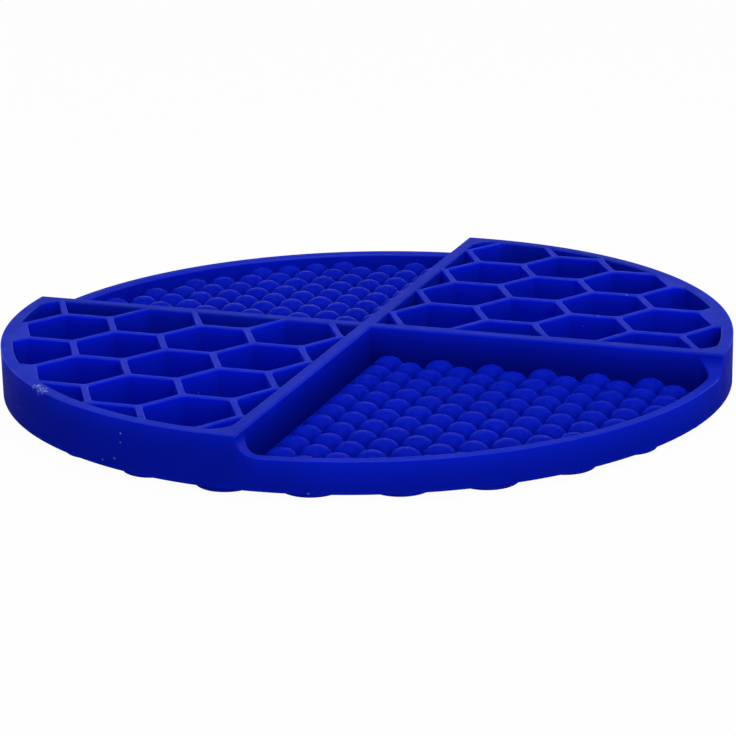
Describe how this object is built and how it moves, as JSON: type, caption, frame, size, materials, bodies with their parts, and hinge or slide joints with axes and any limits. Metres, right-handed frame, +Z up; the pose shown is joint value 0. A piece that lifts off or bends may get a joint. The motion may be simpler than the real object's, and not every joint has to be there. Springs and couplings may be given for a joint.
{
  "type": "lick mat",
  "caption": "Round silicone lick mat with tall honeycomb quadrants, lower bubble quadrants, crossing divider walls, a stepped rim and suction cups underneath.",
  "frame": {"origin": "centre of the mat, on the plane that the suction cups' lips rest on", "axes": "+Z up through the mat, square to the floor disc; +X along one divider wall and +Y along the other, with the honeycomb quadrants at +X+Y and -X-Y"},
  "size_m": [0.2, 0.2, 0.0157],
  "materials": {
    "silicone": "satin moulded silicone, deep ultramarine blue",
    "silicone_bubbles": "satin moulded silicone, the same blue, smooth bubbles",
    "silicone_cups": "smooth moulded silicone, the same blue, glossier lips"
  },
  "bodies": {
    "root": {"floor_disc": "silicone", "divider_cross": "silicone", "rim_tall_right": "silicone", "rim_tall_left": "silicone", "rim_low_front": "silicone", "rim_low_back": "silicone", "honeycomb_right": "silicone", "honeycomb_left": "silicone", "bubbles_front": "silicone_bubbles", "bubbles_back": "silicone_bubbles", "cups_outer": "silicone_cups", "cups_second": "silicone_cups", "cups_third": "silicone_cups", "cups_inner": "silicone_cups"}
  },
  "joints": []
}
